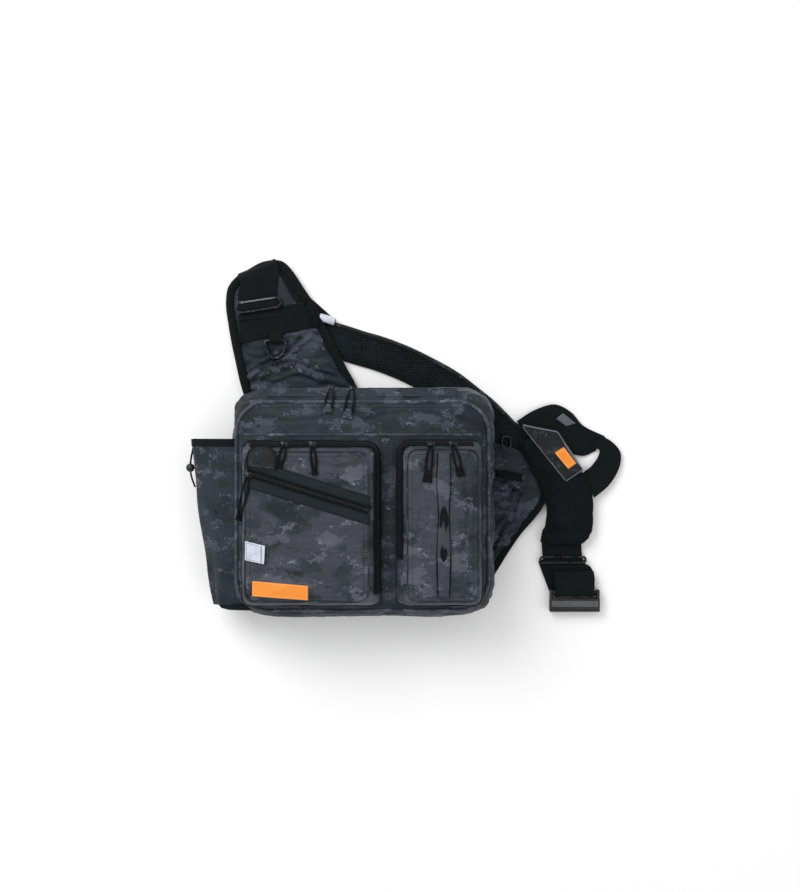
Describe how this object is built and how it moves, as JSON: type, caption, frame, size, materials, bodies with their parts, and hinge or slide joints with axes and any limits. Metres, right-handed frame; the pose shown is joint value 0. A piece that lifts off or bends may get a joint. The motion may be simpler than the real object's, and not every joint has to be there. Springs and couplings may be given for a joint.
{
  "type": "fishing tackle sling bag",
  "caption": "Camouflage sling bag for fishing tackle, laid on its back: zipped body, front pockets, side sleeve, padded shoulder strap and a buckled end strap.",
  "frame": {"origin": "middle of the back panel's flat face, on the ground that the bag lies on", "axes": "+Z out of the back panel towards the bag's front and straight up as it lies, +Y towards the bag's own top, +X to the right seen from its front"},
  "size_m": [0.5432, 0.452, 0.1174],
  "materials": {
    "camo_cloth": "printed woven polyester, matt",
    "black_webbing": "ribbed webbing and binding tape",
    "black_mesh": "air mesh, matt",
    "zip_coil": "coil zip on woven tape",
    "dark_metal": "dark painted zinc",
    "grey_plastic": "moulded, satin",
    "orange_label": "soft moulded, plain",
    "silver_tape": "reflective tape"
  },
  "bodies": {
    "bag": {"body_shell": "camo_cloth", "front_piping": "camo_cloth", "back_piping": "black_webbing", "main_zip": "zip_coil", "back_panel": "black_mesh", "band_seam_tape": "black_webbing", "left_pocket": "camo_cloth", "left_pocket_zip": "zip_coil", "right_pocket": "camo_cloth", "right_pocket_zip": "zip_coil", "slant_tape_upper": "black_webbing", "slant_zip": "zip_coil", "slant_tape_lower": "black_webbing", "zip_end_patch": "camo_cloth", "reflective_tab": "silver_tape", "front_label": "orange_label", "pocket_pleat": "camo_cloth", "left_pocket_pull_a": "black_webbing", "left_pocket_pull_b": "black_webbing", "right_pocket_pull_a": "black_webbing", "right_pocket_pull_b": "black_webbing", "main_pull_left": "black_webbing", "main_pull_right": "black_webbing", "slant_pull": "black_webbing", "side_sleeve": "camo_cloth", "sleeve_top_binding": "black_webbing", "sleeve_foot_binding": "black_webbing", "cord_stopper": "grey_plastic", "shoulder_pad": "camo_cloth", "pad_binding": "black_webbing", "pad_patch": "black_webbing", "pad_webbing": "black_webbing", "pad_slider": "dark_metal", "d_ring_loop": "black_webbing", "mesh_strap": "black_mesh", "under_webbing": "black_webbing", "loop_tab": "silver_tape", "hip_pad": "black_mesh", "end_flap": "camo_cloth", "flap_label": "orange_label", "arch_webbing": "black_webbing", "fold_webbing": "black_webbing", "arch_patch": "silver_tape", "side_wing": "camo_cloth", "wing_binding": "black_webbing", "wing_strap": "black_webbing", "strap_keeper": "grey_plastic", "tail_webbing": "black_webbing", "tail_slider": "dark_metal"},
    "ring": {"d_ring": "dark_metal"},
    "buckle": {"buckle": "grey_plastic"}
  },
  "joints": [
    {"name": "d_ring_swing", "type": "hinge", "parent": "bag", "child": "ring", "pos_m": [-0.1096, 0.19975, 0.0211], "axis": [-1, 0, 0], "range_deg": [0, 150]},
    {"name": "buckle_swing", "type": "hinge", "parent": "bag", "child": "buckle", "pos_m": [0.2656, -0.11644, 0.007], "axis": [-1, 0, 0], "range_deg": [0, 80]}
  ]
}
